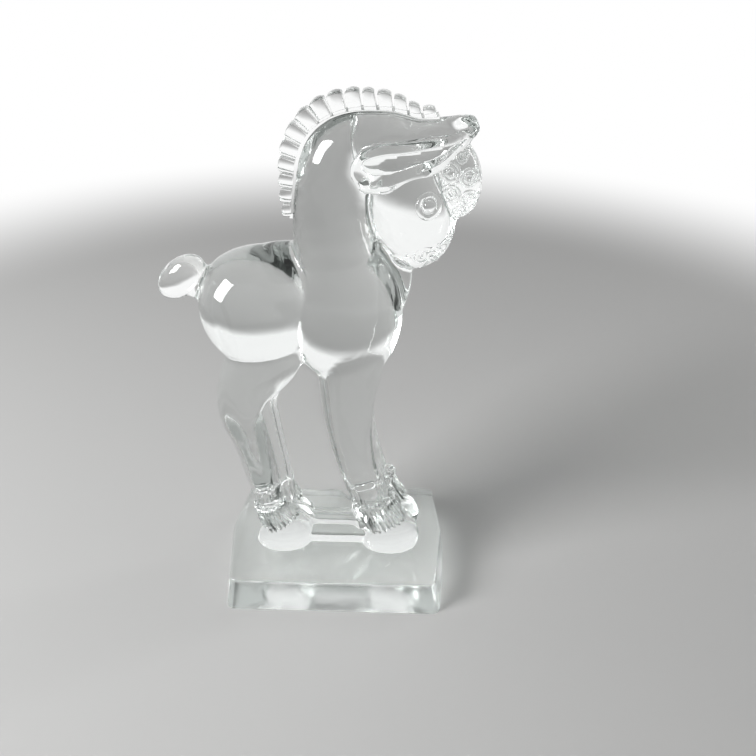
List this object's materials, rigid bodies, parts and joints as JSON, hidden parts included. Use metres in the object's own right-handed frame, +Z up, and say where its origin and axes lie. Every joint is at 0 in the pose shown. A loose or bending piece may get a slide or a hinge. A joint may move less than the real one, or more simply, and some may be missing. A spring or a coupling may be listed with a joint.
{
  "type": "horse figurine",
  "caption": "Solid clear glass foal standing on a block plinth, head tucked towards its chest, with an upright tabbed mane and a curly forelock; rests on its flat underside.",
  "frame": {"origin": "centre of the plinth's flat underside, on the mould line", "axes": "+Z up, +X towards the horse's head, the mould line in the plane Y = 0"},
  "size_m": [0.0631, 0.035, 0.1145],
  "materials": {
    "clear_glass": "polished"
  },
  "bodies": {
    "root": {"plinth": "clear_glass", "hindquarters": "clear_glass", "chest": "clear_glass", "muzzle": "clear_glass", "head": "clear_glass", "neck": "clear_glass", "lower_lip": "clear_glass", "forelock": "clear_glass", "right_ear": "clear_glass", "left_ear": "clear_glass", "right_eye": "clear_glass", "left_eye": "clear_glass", "right_eyelid": "clear_glass", "left_eyelid": "clear_glass", "tail": "clear_glass", "right_hind_fetlock": "clear_glass", "left_hind_fetlock": "clear_glass", "right_fore_fetlock": "clear_glass", "left_fore_fetlock": "clear_glass", "right_hind_hoof": "clear_glass", "left_hind_hoof": "clear_glass", "right_fore_hoof": "clear_glass", "left_fore_hoof": "clear_glass", "right_thigh": "clear_glass", "left_thigh": "clear_glass", "right_hind_leg": "clear_glass", "left_hind_leg": "clear_glass", "right_foreleg": "clear_glass", "left_foreleg": "clear_glass", "sill": "clear_glass", "leg_web": "clear_glass", "throat_web": "clear_glass", "mane_crest": "clear_glass", "mane_tab_01": "clear_glass", "mane_tab_02": "clear_glass", "mane_tab_03": "clear_glass", "mane_tab_04": "clear_glass", "mane_tab_05": "clear_glass", "mane_tab_06": "clear_glass", "mane_tab_07": "clear_glass", "mane_tab_08": "clear_glass", "mane_tab_09": "clear_glass", "mane_tab_10": "clear_glass", "mane_tab_11": "clear_glass", "mane_tab_12": "clear_glass", "mane_tab_13": "clear_glass", "mane_tab_14": "clear_glass", "mane_tab_15": "clear_glass"}
  },
  "joints": []
}
